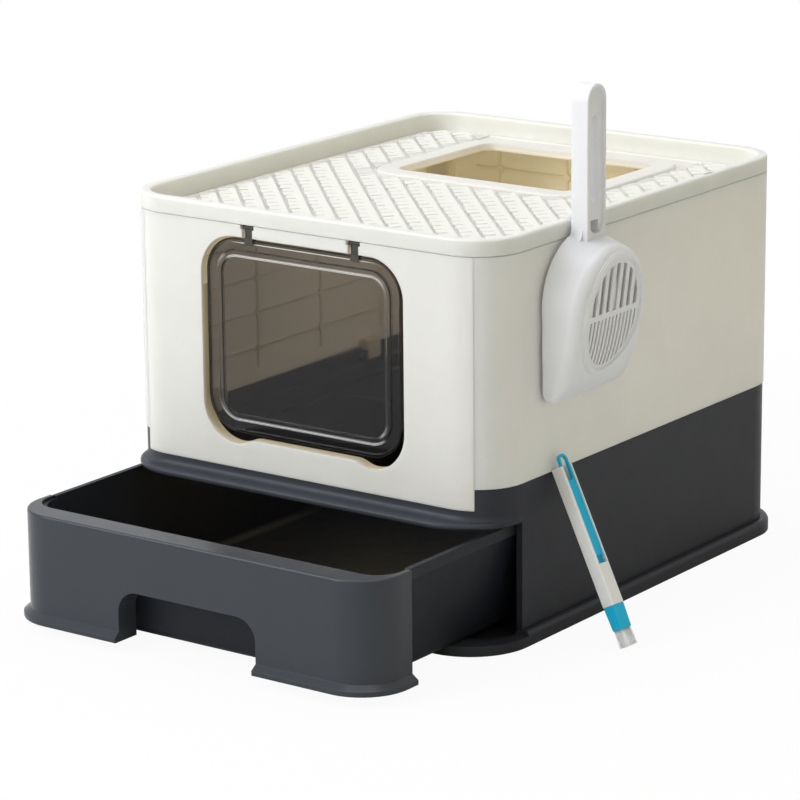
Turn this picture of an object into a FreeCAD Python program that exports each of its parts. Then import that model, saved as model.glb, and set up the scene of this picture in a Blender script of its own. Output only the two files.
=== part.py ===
"""Litter box enclosure with a pull-out drawer, a swing door, a top entry,
a hanging scoop and a leaning brush with its dustpan sleeve.

Millimetres, +Z up, +X to the right of the door side, +Y to the back.
The origin is the centre of the body's footprint on the floor.
"""
import FreeCAD, Part
import math
import os

from FreeCAD import Rotation, Vector

os.makedirs("parts", exist_ok=True)

# Body outline, shared by the floor plate, the base, the walls and the cover
body_width = 400.0
body_depth = 480.0
corner_radius = 45.0

# Floor plate
floor_skin = 3.0
flange_out = 6.8
flange_height = 13.0
front_apron = 17.0
front_corner_extra = 13.0
sill_height = 9.0
sill_width = 26.0
bullnose = 4.5
rail_spacing = 280.0
rail_width = 8.0
rail_end_gap = 12.0
sill_step_gap = 0.3

# Base housing
base_inset = 0.8
base_seat_gap = 0.3
base_wall = 3.0
front_wall_top = 125.0
side_wall_top = 144.0
jamb_thickness = 6.0
jamb_width = 12.0
jamb_setback = 45.5
jamb_top_drop = 20.0
beam_bottom = 110.0
lip_out = 16.0
lip_side = 1.6
lip_thickness = 6.0
lip_round = 2.7
lip_cove = 5.0
inner_flange = 10.0
side_flange_drop = 15.0

# Walls that stand on the base
wall = 3.0
wall_top = 345.0
panel_gap = 0.3
corner_seam = 23.0
overlap_flange = 2.5
overlap_width = 12.0
overlap_inside = 8.0
overlap_lift = 2.0
rib_width = 2.4
rib_height = 1.4
rib_rows = 5
rib_columns = 4
boss_radius = 4.0
boss_rise = 0.8
rib_top_margin = 14.0
rib_side_margin = 10.0

# Hinges at the foot of the walls
hinge_pin_radius = 1.5
hinge_fit = 0.05
hinge_inboard = 9.5
hinge_drop = 5.5
hinge_spread = 120.0
lug_width = 20.0
ear_width = 4.0
lug_margin = 3.5
lug_side_gap = 0.3
lug_root = 8.0
ear_foot = 3.0
ear_shelf_gap = 0.8
ear_top_gap = 0.6

# Door opening in the front wall
door_half_width = 109.0
door_top = 334.0
door_sill = 152.0
door_radius = 36.0
recess_drop = 5.0
recess_centre = 73.0
sill_half_width = 52.0
door_lip = 2.5
door_lip_depth = 9.0
door_lip_top = 285.0

# Swing flap and its two hangers
flap_side_gap = 4.5
flap_top_gap = 2.0
flap_bottom_gap = 5.0
flap_radius = 32.0
flap_thickness = 2.4
flap_edge_rim = 3.0
flap_edge_step = 0.7
flap_edge_round = 0.5
bead_inset = 10.5
bead_width = 6.5
bead_step = 1.1
bead_round = 0.9
pivot_depth = 4.5
pivot_below_top = 2.2
pivot_radius = 1.7
pivot_length = 14.0
pivot_fit = 0.06
pivot_end_gap = 0.46
hanger_spread = 114.0
hanger_width = 9.0
hanger_thickness = 2.2
hanger_slot_gap = 1.2
hanger_clip_drop = 5.0
hanger_clip_cheek = 0.8
hanger_clip_cap = 1.5
bearing_width = 4.0
bearing_depth = 4.2
bearing_below_pin = 3.0
bridge_thickness = 0.9
bridge_rise = 5.0
bridge_clearance = 0.6
blister_depth = 9.5
blister_rise = 1.6
blister_roof = 1.4
blister_side = 3.0

# Cover with the raised rim, the tread deck and the top entry
cover_gap = 0.5
rim_top = 360.0
rim_width = 10.0
cover_wall = 2.5
rim_round = 2.2
deck_top = 342.0
entry_half_width = 96.5
entry_front = 32.0
entry_back = 185.0
entry_radius = 12.0
entry_border = 20.0
entry_border_radius = 30.0
entry_border_height = 3.3
entry_border_round = 2.0
entry_skirt = 1.5
tread_angle = -47.0
tread_pitch = 19.0
tread_width = 14.6
tread_length = 44.0
tread_gap = 1.3
tread_height = 1.9
tread_margin = 7.0
tongue_width = 2.2
tongue_half_length = 170.0
tongue_drop = 4.0
hook_slot_length = 16.0
hook_slot_width = 4.0
hook_slot_from_end = 128.0

# Drawer with its tub and its front shell
drawer_pull = 155.5
drawer_run_gap = 0.3
fascia_inset = 4.0
fascia_return = 54.0
fascia_jamb_gap = 1.5
fascia_end_radius = 20.0
fascia_radius = 40.0
fascia_wall = 3.0
drawer_top = 107.5
front_rim_width = 26.0
rim_edge_round = 2.0
foot_out = 6.0
foot_height = 4.5
foot_round = 1.2
foot_slope = 4.5
notch_half_width = 74.0
notch_top = 56.0
notch_radius = 20.0
notch_wall = 2.5
notch_overrun = 30.0
notch_foot_radius = 5.0
tub_wall = 2.5
tub_rim_inset = 4.4
tub_side_draft = 22.0
tub_back = 226.0
tub_end_draft = 4.0
tub_radius = 24.0
tub_back_radius = 34.0
rim_back_radius = 40.0
rim_overhang = 4.0
tub_bottom_radius = 30.0
tub_fillet = 8.0
strip_drop = 10.0
strip_side_gap = 0.8
tub_joint_gap = 0.2

# Scoop that hangs on the right rim
scoop_wall_gap = 3.5
handle_depth = 16.5
handle_width = 29.0
handle_top = 477.0
handle_recess = 2.5
handle_wall = 2.3
handle_slot_width = 9.5
handle_slot_low = 374.5
handle_slot_high = 450.0
handle_window_low = 347.0
handle_window_high = 360.0
handle_flare = 17.0
handle_flare_rise = 20.0
handle_flare_sink = 9.0
handle_flare_depth = 11.5
handle_sink = 23.0
handle_edge_round = 1.2
lip_z = 208.5
bowl_tilt = 7.0
bowl_axis = 80.0
bowl_half_width = 57.5
bowl_draft = 0.19
bowl_crown = 25.0
bowl_lip = 2.0
bowl_edge_round = 12.0
bowl_lip_corner = 11.0
bowl_wall = 2.0
bowl_round_share = 0.6
bowl_round_least = 1.0
lip_corner_steps = (0.0, 0.22, 0.55, 1.0)
chute_steps = (0.27, 0.45, 0.7, 1.0)
grate_axis = 75.0
grate_half_width = 37.0
grate_half_height = 46.0
ring_gap = 3.5
ring_width = 6.0
ring_rise = 1.5
ring_step = 1.2
crossbar_lift = 1.5
crossbar_width = 5.0
wide_slot_count = 7
wide_slot_width = 5.6
narrow_slot_count = 13
narrow_slot_width = 3.0
hook_thickness = 2.4
hook_width = 12.0
hook_leg = 11.0
hook_seat_gap = 0.3

# Brush and its dustpan sleeve, built upright and then leaned on the side
bristle_length = 16.0
bristle_inset = 0.9
bristle_flare = 1.2
ferrule_length = 21.5
ferrule_taper = 0.5
ferrule_step = 0.2
sleeve_seat_gap = 0.3
sleeve_length = 126.0
sleeve_width = 14.6
sleeve_depth = 13.0
sleeve_wall = 1.4
sleeve_gap = 0.35
sleeve_corner = 1.2
window_length = 89.0
window_border = 0.5
strip_gap = 0.1
strip_step_length = 7.0
strip_step_depth = 2.4
strip_step_hidden = 1.0
loop_rise = 10.5
loop_wall = 2.0
loop_depth = 2.6
loop_hole_length = 22.0
brush_lean = 27.2
brush_turn = -6.1
brush_from_end = 86.7
lean_gap = 0.3

# Places that several pieces share
half_width = body_width / 2
half_depth = body_depth / 2
seam_x = half_width - corner_seam
jamb_y = -half_depth + jamb_setback
base_bottom = flange_height + base_seat_gap
pivot_y = -half_depth + pivot_depth
pivot_z = wall_top - pivot_below_top
fascia_back_y = jamb_y - fascia_jamb_gap
fascia_front_y = fascia_back_y - fascia_return
tub_front = fascia_front_y + front_rim_width
drawer_bottom = sill_height + drawer_run_gap
strip_half_width = half_width - base_inset - jamb_thickness - strip_side_gap
tub_top_half_width = strip_half_width - tub_rim_inset
tub_bottom_half_width = tub_top_half_width - tub_side_draft
fascia_half_width = half_width - fascia_inset
hook_slot_y = half_depth - hook_slot_from_end
brush_y = brush_from_end - half_depth
bowl_top = lip_z + bowl_axis + bowl_half_width
overlap = 0.5
far = 2000.0
loft_degree = 3


def box(x_min, x_max, y_min, y_max, z_min, z_max):
    """Rectangular block between two opposite corners."""
    corner = Vector(x_min, y_min, z_min)
    return Part.makeBox(x_max - x_min, y_max - y_min, z_max - z_min, corner)


def outline_wire(half_x, y_front, y_back, front_radius, back_radius, z):
    """Closed rounded outline, seen from above, at height z."""
    corners = [
        (half_x - back_radius, y_back - back_radius, back_radius, 0),
        (-half_x + back_radius, y_back - back_radius, back_radius, 90),
        (-half_x + front_radius, y_front + front_radius, front_radius, 180),
        (half_x - front_radius, y_front + front_radius, front_radius, 270),
    ]
    arcs = []
    for x, y, radius, start in corners:
        points = []
        for angle in (start, start + 45, start + 90):
            turn = math.radians(angle)
            points.append(Vector(x + radius * math.cos(turn), y + radius * math.sin(turn), z))
        arcs.append((points, Part.Arc(*points).toShape()))
    edges = []
    for index, (points, arc) in enumerate(arcs):
        following = arcs[(index + 1) % len(arcs)][0]
        edges.append(arc)
        edges.append(Part.makeLine(points[2], following[0]))
    return Part.Wire(edges)


def rounded_block(half_x, y_front, y_back, front_radius, back_radius, z_low, z_high):
    """Upright block with rounded corners, symmetric in X."""
    wire = outline_wire(half_x, y_front, y_back, front_radius, back_radius, z_low)
    return Part.Face(wire).extrude(Vector(0, 0, z_high - z_low))


def body_block(inset, z_low, z_high):
    """Block with the body's outline, drawn in by inset."""
    radius = corner_radius - inset
    return rounded_block(half_width - inset, -half_depth + inset, half_depth - inset,
                         radius, radius, z_low, z_high)


def body_ring(outer_inset, inner_inset, z_low, z_high):
    """Upright wall that follows the body's outline."""
    return body_block(outer_inset, z_low, z_high).cut(body_block(inner_inset, z_low, z_high))


def flat_edges(shape, z):
    """All edges that lie at height z."""
    found = []
    for edge in shape.Edges:
        bounds = edge.BoundBox
        if abs(bounds.ZMin - z) < 0.001 and abs(bounds.ZMax - z) < 0.001:
            found.append(edge)
    return found


def mirrored_x(shape):
    return shape.mirror(Vector(0, 0, 0), Vector(1, 0, 0))


def mirrored_y(shape):
    return shape.mirror(Vector(0, 0, 0), Vector(0, 1, 0))


def front_face(points_and_arcs, y):
    """Face in an XZ plane from a list of straight and arc steps.

    Each step is (x, z) for a straight run, or (mid_x, mid_z, x, z) for an arc.
    """
    first = points_and_arcs[0]
    here = Vector(first[0], y, first[1])
    edges = []
    for step in points_and_arcs[1:]:
        there = Vector(step[-2], y, step[-1])
        if len(step) == 4:
            edges.append(Part.Arc(here, Vector(step[0], y, step[1]), there).toShape())
        else:
            edges.append(Part.makeLine(here, there))
        here = there
    return Part.Face(Part.Wire(edges))


def rounded_front_face(half_x, z_low, z_high, low_radius, high_radius, y):
    """Rounded rectangle in an XZ plane, symmetric in X."""
    low_bend = low_radius * (1 - math.sqrt(0.5))
    high_bend = high_radius * (1 - math.sqrt(0.5))
    steps = [(-half_x + low_radius, z_low), (half_x - low_radius, z_low)]
    steps.append((half_x - low_bend, z_low + low_bend, half_x, z_low + low_radius))
    steps.append((half_x, z_high - high_radius))
    steps.append((half_x - high_bend, z_high - high_bend, half_x - high_radius, z_high))
    steps.append((-half_x + high_radius, z_high))
    steps.append((-half_x + high_bend, z_high - high_bend, -half_x, z_high - high_radius))
    steps.append((-half_x, z_low + low_radius))
    steps.append((-half_x + low_bend, z_low + low_bend, -half_x + low_radius, z_low))
    return front_face(steps, y)


def floor_plate():
    """Flat tray with a bullnosed flange, a low front sill and two drawer rails."""
    front_y = -half_depth - front_apron
    back_y = half_depth + flange_out
    half_x = half_width + flange_out
    front_radius = corner_radius + front_corner_extra
    back_radius = corner_radius + flange_out
    plate = rounded_block(half_x, front_y, back_y, front_radius, back_radius, 0, flange_height)
    plate = plate.makeFillet(bullnose, flat_edges(plate, flange_height))
    inside = half_width - jamb_thickness - base_inset
    recess = rounded_block(inside, front_y + sill_width, half_depth - base_inset - base_wall,
                           corner_radius - jamb_thickness, corner_radius - base_wall,
                           floor_skin, flange_height + 1)
    plate = plate.cut(recess)
    profile = [Vector(-far, front_y - 1, sill_height), Vector(-far, fascia_back_y + sill_step_gap, sill_height),
               Vector(-far, jamb_y, flange_height), Vector(-far, jamb_y, far), Vector(-far, front_y - 1, far)]
    dip = Part.Face(Part.makePolygon(profile + profile[:1])).extrude(Vector(2 * far, 0, 0))
    plate = plate.cut(dip)
    inner_sill = box(-inside, inside, front_y, jamb_y + jamb_width, sill_height, flange_height + 1)
    plate = plate.cut(inner_sill)
    rail_back = half_depth - base_wall - rail_end_gap
    rail = box((rail_spacing - rail_width) / 2, (rail_spacing + rail_width) / 2,
               front_y + sill_width - overlap, rail_back, floor_skin - overlap, sill_height)
    return plate.fuse([rail, mirrored_x(rail)]).removeSplitter()


def hinge_lug(bottom_z):
    """Lug of a wall's foot, for a wall whose outer face lies in the plane X = 0
    with the room at +X, and whose foot is at bottom_z. It spans Y = 0."""
    axis_z = bottom_z - hinge_drop
    reach = pivot_margin()
    hang = box(base_inset + base_wall + panel_gap, hinge_inboard + reach, -lug_width / 2, lug_width / 2,
               axis_z - reach, bottom_z + lug_root)
    web = box(wall - overlap, hinge_inboard + reach, -lug_width / 2, lug_width / 2,
              bottom_z + panel_gap, bottom_z + lug_root)
    hole = Part.makeCylinder(hinge_pin_radius + hinge_fit, lug_width + 2,
                             Vector(hinge_inboard, -lug_width / 2 - 1, axis_z), Vector(0, 1, 0))
    return hang.fuse(web).cut(hole)


def pivot_margin():
    return hinge_pin_radius + lug_margin


def hinge_ears(bottom_z):
    """Pair of ears on the base beside one lug, in the lug's frame."""
    axis_z = bottom_z - hinge_drop
    reach = pivot_margin()
    inner = lug_width / 2 + lug_side_gap
    ears = []
    for side in (-1, 1):
        near = side * inner
        distant = side * (inner + ear_width)
        ear = box(base_inset + base_wall - overlap, hinge_inboard + reach, min(near, distant), max(near, distant),
                  axis_z - reach - ear_foot, bottom_z - ear_top_gap)
        ears.append(ear)
    shelf = box(base_inset + base_wall - overlap, hinge_inboard + reach, -inner - ear_width, inner + ear_width,
                axis_z - reach - ear_foot, axis_z - reach - ear_shelf_gap)
    hole = Part.makeCylinder(hinge_pin_radius + hinge_fit, 2 * (inner + ear_width) + 2,
                             Vector(hinge_inboard, -inner - ear_width - 1, axis_z), Vector(0, 1, 0))
    return ears[0].fuse([ears[1], shelf]).cut(hole)


def hinge_pin(bottom_z):
    """Plain pin through one lug and its two ears, in the lug's frame."""
    length = lug_width + 2 * (lug_side_gap + ear_width)
    return Part.makeCylinder(hinge_pin_radius, length,
                             Vector(hinge_inboard, -length / 2, bottom_z - hinge_drop), Vector(0, 1, 0))


def on_wall(shape, side, along):
    """Moves a hinge piece from its own frame to a wall: left, right, front or back."""
    turns = {"left": 0, "front": 90, "right": 180, "back": 270}
    moved = shape.copy()
    moved.rotate(Vector(0, 0, 0), Vector(0, 0, 1), turns[side])
    places = {
        "left": Vector(-half_width, along, 0),
        "right": Vector(half_width, along, 0),
        "front": Vector(along, -half_depth, 0),
        "back": Vector(along, half_depth, 0),
    }
    moved.translate(places[side])
    return moved


def wall_foot(side):
    """Height at which a wall stands on the base."""
    return side_wall_top if side in ("left", "right") else front_wall_top


def cove_edges(shell):
    """Inner corner where the lip's top meets the front beam."""
    found = []
    for edge in flat_edges(shell, beam_bottom + lip_thickness):
        on_wall_line = all(abs(outline_distance(vertex.X, vertex.Y) - base_inset) < 0.01
                           for vertex in edge.Vertexes)
        if on_wall_line and edge.BoundBox.YMin < jamb_y - 1:
            found.append(edge)
    return found


def outline_distance(x, y):
    """How far a point lies inside the body's outline."""
    over_x = abs(x) - (half_width - corner_radius)
    over_y = abs(y) - (half_depth - corner_radius)
    if over_x > 0 and over_y > 0:
        return corner_radius - math.hypot(over_x, over_y)
    return corner_radius - max(over_x, over_y)


def base_housing():
    """Dark lower body: three walls, a front beam with its lip, jambs and hinge ears."""
    inner = base_inset + base_wall
    shell = body_ring(base_inset, inner, base_bottom, side_wall_top)
    jamb = body_ring(base_inset, base_inset + jamb_thickness, base_bottom, side_wall_top - jamb_top_drop)
    jamb = jamb.common(box(-far, far, jamb_y, jamb_y + jamb_width, 0, far))
    flange = body_ring(base_inset, inner + inner_flange, beam_bottom, beam_bottom + base_wall)
    flange_top = side_wall_top - side_flange_drop
    side_flange = body_ring(base_inset, inner + inner_flange, flange_top - base_wall, flange_top)
    side_flange = side_flange.common(box(-far, far, jamb_y, half_depth - corner_radius, 0, far))
    shell = shell.fuse([jamb, flange, side_flange])
    doorway = box(-far, far, -far, jamb_y, base_bottom - 1, beam_bottom)
    shell = shell.cut(doorway)
    low_walls = box(-seam_x, seam_x, -far, far, front_wall_top, side_wall_top + 1)
    inside = box(-seam_x, seam_x, -half_depth + corner_radius, half_depth - corner_radius, 0, far)
    shell = shell.cut(low_walls.cut(inside))

    lip_radius = corner_radius + front_corner_extra
    lip = rounded_block(half_width + lip_side, -half_depth - lip_out, half_depth, lip_radius, corner_radius,
                        beam_bottom, beam_bottom + lip_thickness)
    rims = flat_edges(lip, beam_bottom) + flat_edges(lip, beam_bottom + lip_thickness)
    lip = lip.makeFillet(lip_round, rims)
    lip = lip.cut(body_block(inner - 1, 0, far))
    lip = lip.common(box(-far, far, -far, jamb_y, 0, far))
    shell = shell.fuse(lip).removeSplitter()
    shell = shell.makeFillet(lip_cove, cove_edges(shell))

    for side in ("left", "right", "front", "back"):
        for along in (-hinge_spread, hinge_spread):
            shell = shell.fuse(on_wall(hinge_ears(wall_foot(side)), side, along))
    return shell.removeSplitter()


def wall_ribs(length, height, low_z):
    """Shallow grid on a wall's inner face with a round boss at every crossing, in the frame of hinge_lug."""
    columns = [length * ((index + 0.5) / rib_columns - 0.5) for index in range(rib_columns)]
    rows = [low_z + height * (index + 1) / (rib_rows + 1) for index in range(rib_rows)]
    root = wall - overlap
    depth = wall + rib_height
    ribs = []
    for y in columns:
        ribs.append(box(root, depth, y - rib_width / 2, y + rib_width / 2,
                        low_z + rib_top_margin, low_z + height - rib_top_margin))
    for z in rows:
        ribs.append(box(root, depth, -length / 2 + rib_side_margin, length / 2 - rib_side_margin,
                        z - rib_width / 2, z + rib_width / 2))
    for y in columns:
        for z in rows:
            ribs.append(Part.makeCylinder(boss_radius, depth + boss_rise - root, Vector(root, y, z),
                                          Vector(1, 0, 0)))
    return ribs


def side_panel(side):
    """Left or right wall, which carries both rounded corners on its side."""
    foot = side_wall_top + panel_gap
    ring = body_ring(0, wall, foot, wall_top)
    panel = ring.common(box(seam_x + panel_gap / 2, far, -far, far, 0, far))
    if side == "left":
        panel = mirrored_x(panel)
    length = body_depth - 2 * corner_radius
    ribs = wall_ribs(length, wall_top - foot, foot)
    panel = panel.fuse([on_wall(rib, side, 0) for rib in ribs])
    for along in (-hinge_spread, hinge_spread):
        panel = panel.fuse(on_wall(hinge_lug(side_wall_top), side, along))
    return panel.removeSplitter()


def end_panel(side):
    """Plain front or back wall with the flanges that reach behind the side walls."""
    foot = front_wall_top + panel_gap
    ring = body_ring(0, wall, foot, wall_top)
    edge_x = seam_x - panel_gap / 2
    panel = ring.common(box(-edge_x, edge_x, -far, 0, 0, far))
    band = body_ring(wall - overlap, wall + panel_gap + overlap_flange, side_wall_top + overlap_lift, wall_top)
    band = band.common(box(-edge_x - overlap_width, edge_x + overlap_width, -far, 0, 0, far))
    band = band.cut(box(-edge_x + overlap_inside, edge_x - overlap_inside, -far, 0, 0, far))
    side_wall_space = body_ring(0, wall + panel_gap, 0, far)
    side_wall_space = side_wall_space.cut(box(-edge_x, edge_x, -far, far, 0, far))
    panel = panel.fuse(band.cut(side_wall_space))
    for along in (-hinge_spread, hinge_spread):
        panel = panel.fuse(on_wall(hinge_lug(front_wall_top), "front", along))
    return panel if side == "front" else mirrored_y(panel)


def back_panel():
    panel = end_panel("back")
    foot = front_wall_top + panel_gap
    length = 2 * (half_width - corner_radius)
    ribs = wall_ribs(length, wall_top - foot, foot)
    return panel.fuse([on_wall(rib, "back", 0) for rib in ribs]).removeSplitter()


def door_outline(y):
    """Door opening: rounded top, and a sill with a finger recess at each end."""
    side = door_half_width
    low = door_sill - recess_drop
    corner_x = recess_centre
    low_radius = side - corner_x
    bend = low_radius * (1 - math.sqrt(0.5))
    top_bend = door_radius * (1 - math.sqrt(0.5))
    middle_x = (corner_x + sill_half_width) / 2
    middle_z = (low + door_sill) / 2
    quarter_x = (corner_x + middle_x) / 2
    lift = recess_drop / 8
    steps = [(-sill_half_width, door_sill), (sill_half_width, door_sill)]
    steps.append(((middle_x + sill_half_width) / 2, door_sill - lift, middle_x, middle_z))
    steps.append((quarter_x, low + lift, corner_x, low))
    steps.append((side - bend, low + bend, side, low + low_radius))
    steps.append((side, door_top - door_radius))
    steps.append((side - top_bend, door_top - top_bend, side - door_radius, door_top))
    steps.append((-side + door_radius, door_top))
    steps.append((-side + top_bend, door_top - top_bend, -side, door_top - door_radius))
    steps.append((-side, low + low_radius))
    steps.append((-side + bend, low + bend, -corner_x, low))
    steps.append((-quarter_x, low + lift, -middle_x, middle_z))
    steps.append((-(middle_x + sill_half_width) / 2, door_sill - lift, -sill_half_width, door_sill))
    return front_face(steps, y)


def front_panel():
    """Front wall with the door opening, its inward lip and the flap's bearings."""
    panel = end_panel("front")
    outer_y = -half_depth
    opening = door_outline(outer_y - 1)
    lip_outline = door_outline(outer_y + wall - overlap).makeOffset2D(door_lip)
    lip = lip_outline.extrude(Vector(0, door_lip_depth + overlap, 0))
    lip = lip.common(box(-far, far, -far, far, 0, door_lip_top))
    panel = panel.fuse(lip)
    panel = panel.cut(opening.extrude(Vector(0, 2 * (wall + door_lip_depth), 0)))

    for centre in (-hanger_spread / 2, hanger_spread / 2):
        panel = panel.fuse(flap_bearing(centre)).cut(flap_bearing_cut(centre))
    return panel.removeSplitter()


def pin_seat_half():
    """Half length of the seat that holds a hanger's cross pin."""
    return pivot_length / 2 + pivot_end_gap


def flap_bearing(centre):
    """Block behind the wall's top edge, with a bridge that rises behind the pin."""
    outer_y = -half_depth
    seat_radius = pivot_radius + pivot_fit
    reach = pin_seat_half() + bearing_width
    back_y = outer_y + wall + bearing_depth
    block = box(centre - reach, centre + reach, outer_y + wall - overlap, back_y,
                pivot_z - seat_radius - bearing_below_pin, wall_top)
    bridge = box(centre - reach, centre + reach, back_y - bridge_thickness, back_y,
                 pivot_z + bridge_clearance, wall_top + bridge_rise)
    return block.fuse(bridge)


def flap_bearing_cut(centre):
    """Slot for the hanger's strap and the open seat for its cross pin."""
    outer_y = -half_depth
    slot_half = hanger_width / 2 + hanger_slot_gap
    seat_half = pin_seat_half()
    seat_radius = pivot_radius + pivot_fit
    back_y = outer_y + wall + bearing_depth
    low_slot = box(centre - slot_half, centre + slot_half, outer_y - 1, back_y + 1,
                   door_top - 1, pivot_z + bridge_clearance)
    high_slot = box(centre - slot_half, centre + slot_half, outer_y - 1, back_y - bridge_thickness,
                    door_top - 1, wall_top + 1)
    seat = Part.makeCylinder(seat_radius, 2 * seat_half, Vector(centre - seat_half, pivot_y, pivot_z),
                             Vector(1, 0, 0))
    mouth = box(centre - seat_half, centre + seat_half, outer_y - 1, pivot_y + seat_radius,
                pivot_z, wall_top + 1)
    face_notch = box(centre - seat_half, centre + seat_half, outer_y - 1, pivot_y,
                     pivot_z - seat_radius, wall_top + 1)
    return low_slot.fuse([high_slot, seat, mouth, face_notch])


def flap_pane():
    """Smoked flap: a thin sheet with a thicker edge and a raised bead on both faces."""
    half_x = door_half_width - flap_side_gap
    low = door_sill + flap_bottom_gap
    high = door_top - flap_top_gap

    def slab(inset, thickness):
        radius = flap_radius - inset
        face = rounded_front_face(half_x - inset, low + inset, high - inset, radius, radius,
                                  pivot_y - thickness / 2)
        return face.extrude(Vector(0, thickness, 0))

    def rounded_ring(inset, width, thickness, radius):
        ring = slab(inset, thickness).cut(slab(inset + width, thickness + 1))
        rims = [edge for edge in ring.Edges if edge.BoundBox.YLength < 0.001]
        return ring.makeFillet(radius, rims)

    rim = rounded_ring(0, flap_edge_rim, flap_thickness + 2 * flap_edge_step, flap_edge_round)
    bead = rounded_ring(bead_inset, bead_width, flap_thickness + 2 * bead_step, bead_round)
    inner_sheet = slab(flap_edge_rim - overlap, flap_thickness)
    return inner_sheet.fuse([rim, bead]).removeSplitter()


def flap_hanger(centre):
    """Strap with a cross pin at its head and a fork that grips the flap's top edge."""
    flap_high = door_top - flap_top_gap
    half_x = hanger_width / 2
    rim_half = flap_thickness / 2 + flap_edge_step
    strap = box(centre - half_x, centre + half_x, pivot_y - hanger_thickness / 2, pivot_y + hanger_thickness / 2,
                flap_high, pivot_z)
    pin = Part.makeCylinder(pivot_radius, pivot_length, Vector(centre - pivot_length / 2, pivot_y, pivot_z),
                            Vector(1, 0, 0))
    pieces = [pin]
    for side in (-1, 1):
        near = pivot_y + side * rim_half
        distant = pivot_y + side * (rim_half + hanger_clip_cheek)
        pieces.append(box(centre - half_x, centre + half_x, min(near, distant), max(near, distant),
                          flap_high - hanger_clip_drop, flap_high + hanger_clip_cap))
    cap = box(centre - half_x, centre + half_x, pivot_y - rim_half, pivot_y + rim_half,
              flap_high, flap_high + hanger_clip_cap)
    return strap.fuse(pieces + [cap]).removeSplitter()


def tread_field():
    """Diagonal rows of raised pads over the whole deck, before trimming."""
    pads = []
    farthest = math.hypot(half_width, half_depth) + tread_length / 2
    rows = int(farthest / tread_pitch)
    step = tread_length + tread_gap
    columns = int(farthest / step)
    for row in range(-rows, rows + 1):
        shift = step / 2 if row % 2 else 0
        for column in range(-columns, columns + 1):
            x = column * step + shift
            y = row * tread_pitch
            if math.hypot(x, y) > farthest:
                continue
            pads.append(box(x - tread_length / 2, x + tread_length / 2, y - tread_width / 2, y + tread_width / 2,
                            deck_top - overlap, deck_top + tread_height))
    field = Part.makeCompound(pads)
    field.rotate(Vector(0, 0, 0), Vector(0, 0, 1), tread_angle)
    return field


def inner_rim_edges(cover):
    """Edges of the rim's top face that border the well."""
    x_limit = half_width - rim_width / 2
    y_limit = half_depth - rim_width / 2
    found = []
    for edge in flat_edges(cover, rim_top):
        if all(abs(vertex.X) < x_limit and abs(vertex.Y) < y_limit for vertex in edge.Vertexes):
            found.append(edge)
    return found


def hanger_blister(centre, grow, z_high):
    """Low bulge behind the front rim, under which a hanger's strap swings in."""
    front_y = -half_depth + rim_width - cover_wall
    half_x = hanger_width / 2 + hanger_slot_gap + grow
    return box(centre - half_x, centre + half_x, front_y, front_y + blister_depth + grow,
               deck_top - cover_wall, z_high)


def top_cover():
    """Lift-off cover: raised rim, tread deck, top entry and two hook slots."""
    rim_bottom = wall_top + cover_gap
    deck_low = deck_top - cover_wall
    rim = body_block(0, rim_bottom, rim_top)
    rim = rim.makeFillet(rim_round, flat_edges(rim, rim_top))
    well = rim_width - cover_wall
    deck = body_block(well, deck_low, rim_bottom + 1)
    cover = rim.fuse(deck)
    cover = cover.cut(body_block(rim_width, deck_top, rim_top + 1))
    cover = cover.makeFillet(rim_round, inner_rim_edges(cover))
    channel = body_ring(cover_wall, well, rim_bottom - 1, rim_top - cover_wall)
    cover = cover.cut(channel)

    border_half = entry_half_width + entry_border
    border = rounded_block(border_half, entry_front - entry_border, entry_back + entry_border,
                           entry_border_radius, entry_border_radius,
                           deck_low, deck_top + entry_border_height)
    border = border.makeFillet(entry_border_round, flat_edges(border, deck_top + entry_border_height))
    skirt_half = entry_half_width + cover_wall
    skirt = rounded_block(skirt_half, entry_front - cover_wall, entry_back + cover_wall,
                          entry_radius + cover_wall, entry_radius + cover_wall,
                          deck_low - entry_skirt, deck_top)
    entry = rounded_block(entry_half_width, entry_front, entry_back, entry_radius, entry_radius,
                          deck_low - entry_skirt - 1, rim_top)

    field_zone = body_block(rim_width + tread_margin, deck_top - 1, rim_top)
    clear_gap = tread_margin / 2
    keep_clear = rounded_block(border_half + clear_gap, entry_front - entry_border - clear_gap,
                               half_depth, entry_border_radius + clear_gap, clear_gap,
                               deck_low, rim_top)
    field = tread_field().common(field_zone.cut(keep_clear))
    cover = cover.fuse([border, skirt]).cut(entry)
    cover = cover.fuse(field.Solids)

    ceiling = deck_top + blister_rise
    for centre in (-hanger_spread / 2, hanger_spread / 2):
        cover = cover.fuse(hanger_blister(centre, blister_side, ceiling + blister_roof))
        cover = cover.cut(hanger_blister(centre, 0, ceiling))

    tongue = body_ring(wall + panel_gap, wall + panel_gap + tongue_width, rim_bottom - tongue_drop,
                       rim_top - cover_wall / 2)
    tongue = tongue.common(box(-far, far, -tongue_half_length, tongue_half_length, 0, far))
    cover = cover.fuse(tongue)
    slot_centre = half_width - rim_width / 2
    for y in (-hook_slot_y, hook_slot_y):
        slot = box(slot_centre - hook_slot_width / 2, slot_centre + hook_slot_width / 2,
                   y - hook_slot_length / 2, y + hook_slot_length / 2, rim_bottom - tongue_drop - 1, rim_top + 1)
        cover = cover.cut(slot)
    return cover.removeSplitter()


def drawer_shell(inset, z_low, z_high):
    """Block with the drawer front's outline, cut flat at its back."""
    block = rounded_block(fascia_half_width - inset, fascia_front_y + inset, half_depth,
                          fascia_radius - inset, fascia_end_radius, z_low, z_high)
    return block.common(box(-far, far, -far, fascia_back_y, 0, far))


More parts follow.
